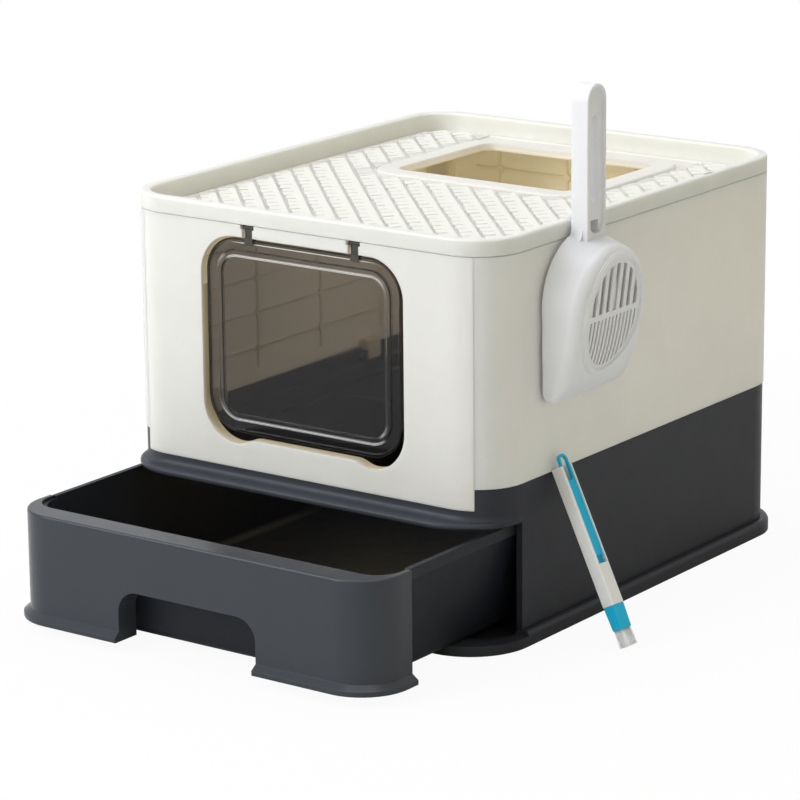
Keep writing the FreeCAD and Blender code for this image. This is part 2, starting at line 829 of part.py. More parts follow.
def tub_shape(inset, z_low, z_high):
    """Tapered tub form, drawn in by inset."""
    top = outline_wire(tub_top_half_width + tub_wall - inset, tub_front - tub_wall + inset,
                       tub_back + tub_wall - inset, tub_radius, tub_back_radius, z_high)
    bottom = outline_wire(tub_bottom_half_width + tub_wall - inset, tub_front - tub_wall + tub_end_draft + inset,
                          tub_back + tub_wall - tub_end_draft - inset, tub_bottom_radius, tub_back_radius, z_low)
    form = Part.makeLoft([bottom, top], True, True)
    return form.makeFillet(tub_fillet, flat_edges(form, z_low))


def drawer_tub():
    """Litter tub with tapered walls, a fillet at its floor and a turned-down rim."""
    shelf_low = drawer_top - tub_wall
    tub = tub_shape(0, drawer_bottom, shelf_low)
    hollow = tub_shape(tub_wall, drawer_bottom + tub_wall, drawer_top + 1)
    rim_back = tub_back + tub_wall + rim_overhang
    rim = rounded_block(strip_half_width, fascia_front_y + fascia_wall, rim_back,
                        tub_radius, rim_back_radius, shelf_low, drawer_top)
    strip = rounded_block(strip_half_width, fascia_front_y + fascia_wall, rim_back,
                          tub_radius, rim_back_radius, drawer_top - strip_drop, drawer_top)
    strip = strip.cut(rounded_block(strip_half_width - tub_wall, fascia_front_y, rim_back - tub_wall,
                                    tub_radius, rim_back_radius - tub_wall, 0, shelf_low))
    rim = rim.fuse(strip)
    rim = rim.common(box(-far, far, fascia_back_y + tub_joint_gap, far, 0, far))
    tub = tub.fuse(rim)
    return tub.cut(hollow).removeSplitter()


def notch_block(grow, y_low, y_high):
    """Hand notch form: straight sides, rounded top corners, open at the bottom."""
    face = rounded_front_face(notch_half_width + grow, drawer_bottom - notch_overrun, notch_top + grow,
                              notch_foot_radius, notch_radius + grow, y_low)
    return face.extrude(Vector(0, y_high - y_low, 0))


def drawer_fascia():
    """Drawer front: shell with wrapped corners, top rim, flared foot and hand notch."""
    shell = drawer_shell(0, drawer_bottom, drawer_top)
    top_edges = [edge for edge in flat_edges(shell, drawer_top) if edge.BoundBox.YMin < fascia_back_y - 1]
    shell = shell.makeFillet(rim_edge_round, top_edges)

    foot_top = drawer_bottom + foot_height
    foot = rounded_block(fascia_half_width + foot_out, fascia_front_y - foot_out, half_depth,
                         fascia_radius + foot_out, fascia_end_radius, drawer_bottom, foot_top)
    foot = foot.makeFillet(foot_round, flat_edges(foot, drawer_bottom))
    ramp_low = outline_wire(fascia_half_width + foot_out, fascia_front_y - foot_out, half_depth,
                            fascia_radius + foot_out, fascia_end_radius, foot_top)
    ramp_high = outline_wire(fascia_half_width, fascia_front_y, half_depth, fascia_radius,
                             fascia_end_radius, foot_top + foot_slope)
    ramp = Part.makeLoft([ramp_low, ramp_high], True, True)
    foot = foot.fuse(ramp).common(box(-far, far, -far, fascia_back_y, 0, far))
    fascia = shell.fuse(foot)
    fascia = fascia.cut(drawer_shell(fascia_wall, drawer_bottom - 1, drawer_top - fascia_wall))

    grow = tub_wall + tub_joint_gap
    tub_space = rounded_block(tub_top_half_width + grow, tub_front - grow, tub_back,
                              tub_radius + tub_joint_gap, tub_back_radius, drawer_top - fascia_wall - 1, drawer_top + 1)
    fascia = fascia.cut(tub_space)
    back_y = tub_front - tub_wall - tub_joint_gap
    tunnel = notch_block(notch_wall, fascia_front_y + 1, back_y)
    tunnel = tunnel.common(box(-far, far, -far, far, drawer_bottom, far))
    fascia = fascia.fuse(tunnel)
    fascia = fascia.cut(notch_block(0, fascia_front_y - 2 * foot_out, back_y + 1))
    return fascia.removeSplitter()


def bowl_depth_at(height):
    """Depth of the bowl's outer face above the lip: an ellipse that ends in a flat crown."""
    if height >= bowl_axis:
        return bowl_crown
    drop = 1 - height / bowl_axis
    return bowl_lip + (bowl_crown - bowl_lip) * math.sqrt(1 - drop * drop)


def bowl_half_width_at(height):
    """Half width of the bowl, rounded in at the two corners of the lip."""
    if height >= bowl_lip_corner:
        return bowl_half_width
    drop = bowl_lip_corner - height
    return bowl_half_width - bowl_lip_corner + math.sqrt(bowl_lip_corner ** 2 - drop * drop)


def bowl_profile(half_x, depth, inset):
    """Corners of half a bowl section: how far out, and how far from the middle."""
    back = -bowl_edge_round * 2
    rounding = min(bowl_edge_round, bowl_round_share * depth + bowl_round_least) - inset / 2
    crown = depth - inset
    side_low = half_x - inset - bowl_draft * back
    side_high = half_x - inset - bowl_draft * (crown - rounding)
    bend = rounding * (1 - math.sqrt(0.5))
    return [(back, side_low), (crown - rounding, side_high),
            (crown - bend, side_high - bend), (crown, side_high - rounding)]


def bowl_section(height, inset):
    """Closed section of the bowl's chute at one height above the lip."""
    profile = bowl_profile(bowl_half_width_at(height), bowl_depth_at(height), inset)
    right = [Vector(out, side, height) for out, side in profile]
    left = [Vector(out, -side, height) for out, side in profile]
    edges = [
        Part.makeLine(left[0], left[1]),
        Part.Arc(left[1], left[2], left[3]).toShape(),
        Part.makeLine(left[3], right[3]),
        Part.Arc(right[3], right[2], right[1]).toShape(),
        Part.makeLine(right[1], right[0]),
        Part.makeLine(right[0], left[0]),
    ]
    return Part.Wire(edges)


def bowl_form(inset):
    """Bowl without its opening: a turned dome above and a chute down to the lip."""
    steps = [share * bowl_lip_corner for share in lip_corner_steps]
    steps += [share * bowl_axis for share in chute_steps]
    sections = [bowl_section(height, inset) for height in steps]
    chute = Part.makeLoft(sections, True, False, False, loft_degree)
    profile = bowl_profile(bowl_half_width, bowl_crown, inset)
    outline = [Vector(out, 0, bowl_axis + side) for out, side in profile]
    foot = Vector(outline[0].x, 0, bowl_axis)
    crown = Vector(outline[3].x, 0, bowl_axis)
    wire = Part.Wire([
        Part.makeLine(foot, outline[0]),
        Part.makeLine(outline[0], outline[1]),
        Part.Arc(outline[1], outline[2], outline[3]).toShape(),
        Part.makeLine(outline[3], crown),
        Part.makeLine(crown, foot),
    ])
    quarter = Part.Face(wire)
    quarter.rotate(foot, Vector(1, 0, 0), -90)
    dome = quarter.revolve(foot, Vector(1, 0, 0), 180)
    return chute.fuse(dome)


def grate_oval(half_x, half_z):
    """Oval prism through the bowl's crown, in the bowl's own frame."""
    oval = Part.Ellipse(Vector(0, 0, 0), half_z, half_x)
    face = Part.Face(Part.Wire(oval.toShape()))
    face.rotate(Vector(0, 0, 0), Vector(0, 1, 0), -90)
    face.translate(Vector(bowl_edge_round / 2, 0, grate_axis))
    return face.extrude(Vector(bowl_crown * 2, 0, 0))


def grate_slots():
    """Wide slots above the crossbar and narrow ones below, kept inside an oval."""
    oval = grate_oval(grate_half_width, grate_half_height)
    bar = grate_axis + crossbar_lift
    rows = [(wide_slot_count, wide_slot_width, bar + crossbar_width / 2, grate_axis + grate_half_height),
            (narrow_slot_count, narrow_slot_width, grate_axis - grate_half_height, bar - crossbar_width / 2)]
    slots = []
    for count, width, low, high in rows:
        pitch = 2 * grate_half_width / count
        for index in range(count):
            y = -grate_half_width + pitch * (index + 0.5)
            slots.append(box(bowl_edge_round / 2, bowl_crown * 2, y - width / 2, y + width / 2, low, high))
    return Part.makeCompound(slots).common(oval)


def placed_bowl_piece(shape):
    """Leans a bowl piece outwards and sets it beside the right wall."""
    moved = shape.copy()
    moved.rotate(Vector(0, 0, 0), Vector(0, 1, 0), bowl_tilt)
    moved.translate(Vector(half_width + scoop_wall_gap, -hook_slot_y, lip_z))
    return moved


def neck_flare(inner_x):
    """Web with concave sides between the handle and the bowl's shoulders."""
    middle = -hook_slot_y
    half = handle_width / 2
    foot = bowl_top - handle_flare_sink
    high = foot + handle_flare_rise
    bend = 1 - math.sqrt(0.5)
    mid_out = half + handle_flare * bend
    mid_z = foot + handle_flare_rise * bend
    right = [(half, high), (mid_out, mid_z), (half + handle_flare, foot)]
    points = [Vector(inner_x, middle + out, z) for out, z in right]
    mirror = [Vector(inner_x, middle - out, z) for out, z in right]
    wire = Part.Wire([
        Part.Arc(points[0], points[1], points[2]).toShape(),
        Part.makeLine(points[2], mirror[2]),
        Part.Arc(mirror[2], mirror[1], mirror[0]).toShape(),
        Part.makeLine(mirror[0], points[0]),
    ])
    return Part.Face(wire).extrude(Vector(handle_flare_depth, 0, 0))


def handle_bar(inner_x):
    """Straight handle with a round top."""
    middle = -hook_slot_y
    half = handle_width / 2
    low = bowl_top - handle_sink
    corners = [Vector(inner_x, middle - half, low), Vector(inner_x, middle + half, low),
               Vector(inner_x, middle + half, handle_top - half), Vector(inner_x, middle - half, handle_top - half)]
    top_arc = Part.Arc(corners[2], Vector(inner_x, middle, handle_top), corners[3]).toShape()
    wire = Part.Wire([Part.makeLine(corners[3], corners[0]), Part.makeLine(corners[0], corners[1]),
                      Part.makeLine(corners[1], corners[2]), top_arc])
    handle = Part.Face(wire).extrude(Vector(handle_depth, 0, 0))
    return handle.makeFillet(handle_edge_round, flat_side_edges(handle, inner_x + handle_depth))


def scoop_hook(inner_x):
    """Tongue from the handle over the rim, with a leg down into the rim's slot."""
    middle = -hook_slot_y
    half = hook_width / 2
    low = rim_top + hook_seat_gap
    slot_centre = half_width - rim_width / 2
    bridge = box(slot_centre - hook_thickness / 2, inner_x + 1, middle - half, middle + half,
                 low, low + hook_thickness)
    leg = box(slot_centre - hook_thickness / 2, slot_centre + hook_thickness / 2, middle - half, middle + half,
              rim_top - hook_leg, low + hook_thickness)
    return bridge.fuse(leg)


def grate_ring(outer):
    """Raised oval band round the grate, in two layers so that its edges look soft."""
    layers = []
    for rise, narrowing in ((ring_rise / 2, 0.0), (ring_rise, ring_step)):
        lifted = outer.copy()
        lifted.translate(Vector(rise, 0, 0))
        wide = ring_gap + ring_width - narrowing
        slim = ring_gap + narrowing
        band = lifted.common(grate_oval(grate_half_width + wide, grate_half_height + wide))
        layers.append(band.cut(grate_oval(grate_half_width + slim, grate_half_height + slim)))
    return layers


def litter_scoop():
    """Scoop: grated bowl, channel handle with a long slot, and the hook over the rim."""
    inner_x = half_width + scoop_wall_gap
    middle = -hook_slot_y
    outer = bowl_form(0)
    bowl = placed_bowl_piece(outer.fuse(grate_ring(outer)))
    bowl = bowl.cut(box(-far, inner_x, -far, far, -far, far))
    scoop = bowl.fuse([handle_bar(inner_x), neck_flare(inner_x)])
    scoop = scoop.cut(placed_bowl_piece(bowl_form(bowl_wall)))
    scoop = scoop.cut(placed_bowl_piece(grate_slots()))

    handle_back = inner_x + handle_depth
    recess_low = bowl_top + handle_wall
    recess = rounded_side_slot(handle_back - handle_recess, handle_back + 1, middle,
                               handle_width / 2 - handle_wall, recess_low, handle_top - handle_wall)
    long_slot = rounded_side_slot(inner_x - 1, handle_back, middle, handle_slot_width / 2,
                                  handle_slot_low, handle_slot_high)
    window = box(inner_x - 1, handle_back, middle - hook_width / 2, middle + hook_width / 2,
                 handle_window_low + bowl_wall, handle_window_high)
    scoop = scoop.cut(recess).cut(long_slot).cut(window)
    return scoop.fuse(scoop_hook(inner_x)).removeSplitter()


def flat_side_edges(shape, x):
    """All edges that lie in the plane of the given x."""
    found = []
    for edge in shape.Edges:
        bounds = edge.BoundBox
        if abs(bounds.XMin - x) < 0.001 and abs(bounds.XMax - x) < 0.001:
            found.append(edge)
    return found


def rounded_side_slot(x_low, x_high, middle_y, half_y, z_low, z_high):
    """Upright slot with round ends, cut along X."""
    low = z_low + half_y
    high = z_high - half_y
    left = middle_y - half_y
    right = middle_y + half_y
    first = Part.makeLine(Vector(x_low, left, high), Vector(x_low, left, low))
    low_arc = Part.Arc(Vector(x_low, left, low), Vector(x_low, middle_y, z_low), Vector(x_low, right, low))
    second = Part.makeLine(Vector(x_low, right, low), Vector(x_low, right, high))
    high_arc = Part.Arc(Vector(x_low, right, high), Vector(x_low, middle_y, z_high), Vector(x_low, left, high))
    wire = Part.Wire([first, low_arc.toShape(), second, high_arc.toShape()])
    return Part.Face(wire).extrude(Vector(x_high - x_low, 0, 0))


def leaned(shape):
    """Turns a brush piece from upright to its lean against the right side."""
    moved = shape.copy()
    moved.rotate(Vector(0, 0, 0), Vector(0, 1, 0), -brush_lean)
    moved.rotate(Vector(0, 0, 0), Vector(0, 0, 1), brush_turn)
    return moved


def brush_offset():
    """Shift that sets the bristles on the floor and the sleeve's top against the wall."""
    low = lowest(leaned(bristle_block()), "z")
    touch = min(lowest(leaned(sleeve_block()), "x"), lowest(leaned(brush_handle()), "x"))
    return Vector(half_width + lean_gap - touch, brush_y, -low)


def lowest(shape, axis):
    """Smallest x or z of a shape, measured on its surface."""
    points = shape.tessellate(0.05)[0]
    return min(getattr(point, axis) for point in points)


def leaned_brush_piece(shape):
    moved = leaned(shape)
    moved.translate(brush_offset())
    return moved


def bristle_block():
    """Tuft block that widens a little towards its tips, standing on Z = 0."""
    half_x = sleeve_depth / 2 - ferrule_step - ferrule_taper - bristle_inset
    half_y = sleeve_width / 2 - ferrule_step - ferrule_taper - bristle_inset
    tips = upright_rectangle(half_x + bristle_flare / 2, half_y + bristle_flare, 0)
    root = upright_rectangle(half_x, half_y, bristle_length)
    return Part.makeLoft([tips, root], True, True)


def upright_rectangle(half_x, half_y, z):
    corners = [Vector(-half_x, -half_y, z), Vector(half_x, -half_y, z),
               Vector(half_x, half_y, z), Vector(-half_x, half_y, z)]
    return Part.makePolygon(corners + corners[:1])


def round_upright_edges(shape, radius):
    upright = [edge for edge in shape.Edges if edge.BoundBox.ZLength > 1]
    return shape.makeFillet(radius, upright)


def brush_ferrule():
    """Tapered block that holds the bristles and stops the sleeve."""
    half_x = sleeve_depth / 2 - ferrule_step
    half_y = sleeve_width / 2 - ferrule_step
    low = upright_rectangle(half_x - ferrule_taper, half_y - ferrule_taper, bristle_length)
    high = upright_rectangle(half_x, half_y, bristle_length + ferrule_length)
    return round_upright_edges(Part.makeLoft([low, high], True, True), sleeve_corner)


def sleeve_low():
    """Height of the sleeve's lower end above the bristle tips, along the brush."""
    return bristle_length + ferrule_length + sleeve_seat_gap


def sleeve_block():
    """Outer form of the dustpan sleeve."""
    block = box(-sleeve_depth / 2, sleeve_depth / 2, -sleeve_width / 2, sleeve_width / 2,
                sleeve_low(), sleeve_low() + sleeve_length)
    return round_upright_edges(block, sleeve_corner)


def dustpan_sleeve():
    """Sleeve that slips over the brush handle, open along the upper part of its outer face."""
    low = sleeve_low()
    high = low + sleeve_length
    bore_y = sleeve_width / 2 - sleeve_wall
    bore = box(-sleeve_depth / 2 + sleeve_wall, sleeve_depth / 2 - sleeve_wall, -bore_y, bore_y, low - 1, high + 1)
    window_y = bore_y - window_border
    window = box(0, sleeve_depth, -window_y, window_y, high - window_length, high + 1)
    return sleeve_block().cut(bore).cut(window)


def brush_handle():
    """Handle that fills the sleeve, with a step at the foot of its window and a thin loop at the top."""
    low = bristle_length + ferrule_length
    sleeve_high = sleeve_low() + sleeve_length
    high = sleeve_high + loop_rise
    near_x = -sleeve_depth / 2 + sleeve_wall + sleeve_gap
    outer_x = sleeve_depth / 2 - sleeve_wall - strip_gap
    half_y = sleeve_width / 2 - sleeve_wall - sleeve_gap
    face = [Vector(near_x, -half_y, low), Vector(near_x, half_y, low),
            Vector(near_x, half_y, high - half_y), Vector(near_x, -half_y, high - half_y)]
    crown = Part.Arc(face[2], Vector(near_x, 0, high), face[3]).toShape()
    wire = Part.Wire([Part.makeLine(face[3], face[0]), Part.makeLine(face[0], face[1]),
                      Part.makeLine(face[1], face[2]), crown])
    handle = Part.Face(wire).extrude(Vector(outer_x - near_x, 0, 0))
    hole_low = high - loop_wall - loop_hole_length
    hole = rounded_side_slot(near_x - 1, outer_x + 1, 0, half_y - loop_wall, hole_low, high - loop_wall)
    behind_loop = box(near_x - 1, outer_x - loop_depth, -sleeve_width, sleeve_width, hole_low, high + 1)
    window_low = sleeve_high - window_length
    step = box(outer_x - strip_step_depth, outer_x + 1, -sleeve_width, sleeve_width,
               window_low - strip_step_hidden, window_low + strip_step_length)
    return handle.cut(hole).cut(behind_loop).cut(step)


def hinge_pins(side):
    """The two hinge pins at the foot of one wall."""
    pins = []
    for along in (-hinge_spread, hinge_spread):
        pins.append(on_wall(hinge_pin(wall_foot(side)), side, along))
    return Part.makeCompound(pins)


def pulled(shape):
    """Drawer piece, moved from closed to the pulled-out place."""
    moved = shape.copy()
    moved.translate(Vector(0, -drawer_pull, 0))
    return moved


def main():
    pieces = {
        "floor_plate": floor_plate(),
        "base_housing": base_housing(),
        "front_panel": front_panel(),
        "back_panel": back_panel(),
        "left_panel": side_panel("left"),
        "right_panel": side_panel("right"),
        "front_hinge_pins": hinge_pins("front"),
        "back_hinge_pins": hinge_pins("back"),
        "left_hinge_pins": hinge_pins("left"),
        "right_hinge_pins": hinge_pins("right"),
        "top_cover": top_cover(),
        "flap_pane": flap_pane(),
        "flap_hanger_left": flap_hanger(-hanger_spread / 2),
        "flap_hanger_right": flap_hanger(hanger_spread / 2),
        "drawer_tub": pulled(drawer_tub()),
        "drawer_fascia": pulled(drawer_fascia()),
        "litter_scoop": litter_scoop(),
        "brush_handle": leaned_brush_piece(brush_handle()),
        "brush_ferrule": leaned_brush_piece(brush_ferrule()),
        "brush_bristles": leaned_brush_piece(bristle_block()),
        "dustpan_sleeve": leaned_brush_piece(dustpan_sleeve()),
    }
    for name, shape in pieces.items():
        shape.exportStep("parts/" + name + ".step")
        bounds = shape.BoundBox
        print(name, "solids", len(shape.Solids), "valid", shape.isValid(),
              "volume", round(shape.Volume), "x", round(bounds.XMin, 1), round(bounds.XMax, 1),
              "y", round(bounds.YMin, 1), round(bounds.YMax, 1), "z", round(bounds.ZMin, 1), round(bounds.ZMax, 1))


main()
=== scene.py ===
"""Looks of the litter box enclosure: plastics, smoked flap, bristles, studio light and camera."""

import math
import random

import bpy
from mathutils import Matrix, Vector


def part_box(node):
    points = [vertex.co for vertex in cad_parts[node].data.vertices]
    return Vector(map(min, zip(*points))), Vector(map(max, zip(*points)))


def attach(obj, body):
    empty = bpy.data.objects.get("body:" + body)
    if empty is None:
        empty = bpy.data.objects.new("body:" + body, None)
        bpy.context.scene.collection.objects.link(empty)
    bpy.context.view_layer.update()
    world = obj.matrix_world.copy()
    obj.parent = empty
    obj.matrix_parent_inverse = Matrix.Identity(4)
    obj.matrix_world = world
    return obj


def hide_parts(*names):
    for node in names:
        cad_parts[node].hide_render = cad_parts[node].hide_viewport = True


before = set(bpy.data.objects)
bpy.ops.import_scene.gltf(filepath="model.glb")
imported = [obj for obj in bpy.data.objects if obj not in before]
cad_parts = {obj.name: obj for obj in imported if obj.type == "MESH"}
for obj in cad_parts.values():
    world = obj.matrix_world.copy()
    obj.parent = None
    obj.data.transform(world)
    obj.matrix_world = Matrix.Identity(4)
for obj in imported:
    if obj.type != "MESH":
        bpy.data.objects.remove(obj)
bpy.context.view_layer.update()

# Camera, found from the object's straight rims and rounded corners
camera_place = (1.866776, -2.670303, 1.016167)
camera_yaw = 0.6272839
camera_pitch = 0.2613257
camera_roll = -0.0092919
camera_lens = 164.84
sensor_width = 36.0
camera_reach = 100.0

# Main sizes of the object that the materials follow, in metres
half_width = 0.200
half_depth = 0.240
corner_radius = 0.045
deck_top = 0.342
rim_width = 0.010
beam_front = -0.243
beam_back = -0.222

# Cover's deck: the tread's field, its rows and the border of the top entry, with painted shade between the
# bumps and on the border
field_inset = 0.0185
pad_rise = 0.0019
border_rise = 0.010
entry_clear_half = 0.1215
entry_clear_front = 0.007
ground_shade = 0.80
border_shade = 0.88

# Bumps along the rows of the tread
tread_angle = math.radians(-47.0)
tread_pitch = 0.019
tread_half_width = 0.0073
bump_pitch = 0.0151
bump_height = 0.0024
bump_shift = 0.0006
bump_overhang = 0.0014
bump_slices = 5
bump_sunk = 0.0002
ragged_side_height = bump_height * 0.8
link_height = bump_height * 0.97
link_set_back = 0.0001
notch_half = 0.0009
notch_share = (0.35, 0.7)

# Where one look changes into another: depths from the outer face of the walls, and heights
inner_face_depths = (0.0022, 0.0029)
cabin_top_heights = (deck_top - 0.0035, deck_top - 0.0015)
field_edge_depths = (field_inset - 0.001, field_inset)
deck_face_heights = (deck_top - 0.0008, deck_top - 0.0004)
pad_top_heights = (deck_top + pad_rise + 0.0001, deck_top + pad_rise + 0.0003)
border_top_heights = (deck_top + border_rise, deck_top + border_rise + 0.001)
rim_top_depths = (rim_width - 0.0024, rim_width - 0.0006)
rim_face_depths = (rim_width + 0.001, rim_width + 0.002)
rim_foot_heights = (deck_top, deck_top + 0.002)

# Flap's pane, the painted shade at its rim, and the painted highlights and painted shade along its raised
# bead
pane_half_width = 0.1045
pane_half_height = 0.0875
pane_middle_z = 0.2445
pane_radius = 0.032
pane_rim_depths = (0.0012, 0.0020)
bead_outer_edge = 0.0109
bead_inner_edge = 0.0166
bead_line_half = 0.0003
bead_dark_half = 0.0005
bead_line_pair = 0.0013
painted_top_highlight_depth = 0.0038
line_core = 0.6
line_fringe = 1.4
diagonal_blur = 0.06
level_run_fade = (-0.3, 0.05)
upright_run_strength = 0.15
top_line_heights = (0.8, 0.9)
top_line_fade = (0.1, 0.4)
painted_highlight_cover = 0.9

# Brush tuft, in the brush's own upright frame before it leans on the side
tuft_length = 0.016
tuft_root = (0.0049, 0.0057)
tuft_tips = (0.0055, 0.0069)
tuft_sunk = 0.0006
tip_spread = (0.86, 1.05)
tip_shortening = 0.0005
least_shortening = 0.0002
clump_reach = 0.0005
clump_waves = (2.0, 9.0)
brush_lean = math.radians(27.2)
brush_turn = math.radians(-6.1)
strand_rows = 16
strand_columns = 20
strand_jitter = 0.3
strand_bend = (0.00018, 0.00025)
strand_bow_shift = 0.3
strand_radius = 0.00019
strand_taper = 0.35
strand_sides = 5
strand_rings = 7
bristle_clearness = 0.95

# Colours, linear
cream = (0.855, 0.845, 0.86)
# Painted light: warm cream on faces that look into the cabin, for light bounced inside
cream_painted_bounce = (0.96, 0.84, 0.61)
cover_cream = (0.92, 0.905, 0.885)
# Painted light: paler, warmer cream on the rim's inner face, for light bounced off the deck
rim_painted_light = (0.99, 0.965, 0.90)
fascia_slate = (0.045, 0.0505, 0.0645)
base_slate = (0.034, 0.035, 0.047)
# Painted light: paler, bluer slate on the beam over the drawer, for the light from the front
beam_painted_light_slate = (0.052, 0.058, 0.074)
tub_black = (0.012, 0.014, 0.021)
hanger_black = (0.040, 0.036, 0.032)
scoop_white = (0.83, 0.83, 0.905)
brush_white = (0.90, 0.90, 0.93)
teal = (0.008, 0.52, 0.86)
smoke = (0.25, 0.245, 0.29)
# Painted shade: near black for the pane's rim and the dark lines along its bead
smoke_painted_shade = (0.02, 0.018, 0.016)
smoke_gloss = (0.7, 0.7, 0.7)
smoke_shadow = (0.68, 0.66, 0.66)
smoke_shadow_pale = (0.72, 0.70, 0.70)
# Painted highlight: pale lines along the pane's bead and under its top edge
bead_painted_highlight = (0.92, 0.91, 0.88)
bristle_white = (0.90, 0.905, 0.91)
bristle_bright = (0.98, 0.98, 0.985)
steel = (0.56, 0.57, 0.58)
floor_grey = (0.84, 0.84, 0.84)
floor_pale = (0.86, 0.86, 0.86)
white = (1.0, 1.0, 1.0)

# Plastics: reach of light in them for red, green and blue, in metres, and their surfaces
cream_reach = (0.014, 0.013, 0.012)
scoop_reach = (0.005, 0.0045, 0.004)
noise_range = (0.2, 0.8)
roughness_spread = 0.05
grain_strength = 0.35
dark_grain = {"grain_height": 0.00005, "grain_scale": 1100.0, "variation": 0.12}

# Studio: floor, surround and lamps
floor_reach = 9.0
plain_floor_distances = (0.45, 1.1)
plain_share_near = 0.94
surround_strength = 0.92
surround_sides = (0.54, 0.515, 0.31)
surround_overhead = (0.49, 0.505, 0.56)
overhead_heights = (0.4, 0.95)
surround_seen = {"Is Glossy Ray": 0.9, "Is Transmission Ray": 1.0, "Is Camera Ray": 1.0}
lamp_aim = (0, -0.05, 0.2)
cool_light = (0.94, 0.965, 1.0)
pale_light = (0.97, 0.98, 1.0)
warm_light = (1.0, 0.90, 0.72)


class NodeTree:
    """Short names for the nodes of a material or a world."""

    def __init__(self, owner):
        owner.use_nodes = True
        self.tree = owner.node_tree
        self.nodes = self.tree.nodes
        self.coordinates = self.nodes.new("ShaderNodeTexCoord")

    def link(self, source, target):
        self.tree.links.new(source, target)

    def feed(self, socket, value):
        """Sets a socket to a number or a colour, or links it to another socket."""
        if isinstance(value, bpy.types.NodeSocket):
            self.link(value, socket)
        elif isinstance(value, tuple) and len(value) == 3 and socket.type == "RGBA":
            socket.default_value = (*value, 1.0)
        else:
            socket.default_value = value

    def math(self, operation, first, second=0.0, third=0.0):
        node = self.nodes.new("ShaderNodeMath")
        node.operation = operation
        for socket, value in zip(node.inputs, (first, second, third)):
            self.feed(socket, value)
        return node.outputs[0]

    def product(self, first, *others):
        for other in others:
            first = self.math("MULTIPLY", first, other)
        return first

    def hypotenuse(self, first, second):
        squares = self.math("ADD", self.math("POWER", first, 2.0), self.math("POWER", second, 2.0))
        return self.math("SQRT", squares)

    def parts(self, vector):
        node = self.nodes.new("ShaderNodeSeparateXYZ")
        self.link(vector, node.inputs[0])
        return node.outputs

    def step(self, value, low, high, low_result=0.0, high_result=1.0):
        """Smooth change from low_result to high_result as value goes from low to high."""
        node = self.nodes.new("ShaderNodeMapRange")
        node.interpolation_type = "SMOOTHSTEP"
        for name, item in (("Value", value), ("From Min", low), ("From Max", high),
                           ("To Min", low_result), ("To Max", high_result)):
            self.feed(node.inputs[name], item)
        return node.outputs[0]

    def fall(self, value, low, high):
        """Smooth change from one to nought as value goes from low to high."""
        return self.step(value, low, high, 1.0, 0.0)

    def blend(self, factor, first, second):
        node = self.nodes.new("ShaderNodeMix")
        node.data_type = "RGBA"
        self.feed(node.inputs["Factor"], factor)
        self.feed(node.inputs["A"], first)
        self.feed(node.inputs["B"], second)
        return node.outputs["Result"]

    def mix_shaders(self, share, first, second):
        node = self.nodes.new("ShaderNodeMixShader")
        self.feed(node.inputs[0], share)
        self.link(first, node.inputs[1])
        self.link(second, node.inputs[2])
        return node.outputs[0]

    def colour_shader(self, kind, colour):
        """Output of a plain shader, such as a transparent one, with its colour."""
        node = self.nodes.new(kind)
        self.feed(node.inputs["Color"], colour)
        return node.outputs[0]

    def ray(self, kind):
        """One for rays of a kind, such as shadow rays, and nought for others."""
        return self.nodes.new("ShaderNodeLightPath").outputs[kind]


class Shader(NodeTree):
    """Short names for the node tree of one material."""

    def __init__(self, name):
        self.material = bpy.data.materials.new(name)
        super().__init__(self.material)
        self.principled = self.nodes["Principled BSDF"]
        self.place = self.coordinates.outputs["Object"]

    def set(self, name, value):
        """Sets or links an input of the main shader."""
        self.feed(self.principled.inputs[name], value)

    def show(self, result):
        """Makes a mixed shader the material's surface."""
        self.link(result, self.nodes["Material Output"].inputs["Surface"])

    def scale_vector(self, vector, factors):
        node = self.nodes.new("ShaderNodeVectorMath")
        node.operation = "MULTIPLY"
        self.feed(node.inputs[0], vector)
        self.feed(node.inputs[1], factors)
        return node.outputs[0]

    def noise(self, scale, detail=2.0, roughness=0.5, vector=None):
        node = self.nodes.new("ShaderNodeTexNoise")
        self.link(vector or self.place, node.inputs["Vector"])
        node.inputs["Scale"].default_value = scale
        node.inputs["Detail"].default_value = detail
        node.inputs["Roughness"].default_value = roughness
        return node.outputs["Fac"]

    def stretch(self, noise, low_result, high_result):
        """Spreads the usual range of a noise between two results."""
        return self.step(noise, *noise_range, low_result, high_result)

    def bump(self, height, strength, distance, normal=None):
        node = self.nodes.new("ShaderNodeBump")
        node.inputs["Strength"].default_value = strength
        node.inputs["Distance"].default_value = distance
        self.link(height, node.inputs["Height"])
        if normal is not None:
            self.link(normal, node.inputs["Normal"])
        return node.outputs["Normal"]

    def rounded_edges(self, radius):
        node = self.nodes.new("ShaderNodeBevel")
        node.samples = 4
        node.inputs["Radius"].default_value = radius
        return node.outputs["Normal"]

    def glow(self, weight, reach):
        """Lets some light pass through thin walls; reach is that of red, green and blue."""
        self.set("Subsurface Weight", weight)
        self.set("Subsurface Radius", reach)
        self.set("Subsurface Scale", 1.0)


def scaled(colour, share):
    """The colour made darker by a share below one, or paler by one above."""
    return tuple(channel * share for channel in colour)


def depth_inside(shader, across, along, half_across, half_along, radius):
    """How far a point lies inside a rounded rectangle round the origin."""
    past_side = shader.math("SUBTRACT", shader.math("ABSOLUTE", across), half_across - radius)
    past_end = shader.math("SUBTRACT", shader.math("ABSOLUTE", along), half_along - radius)
    beyond_side = shader.math("MAXIMUM", past_side, 0.0)
    beyond_end = shader.math("MAXIMUM", past_end, 0.0)
    inner = shader.math("MINIMUM", shader.math("MAXIMUM", past_side, past_end), 0.0)
    outwards = shader.math("ADD", shader.hypotenuse(beyond_side, beyond_end), inner)
    return shader.math("SUBTRACT", radius, outwards)


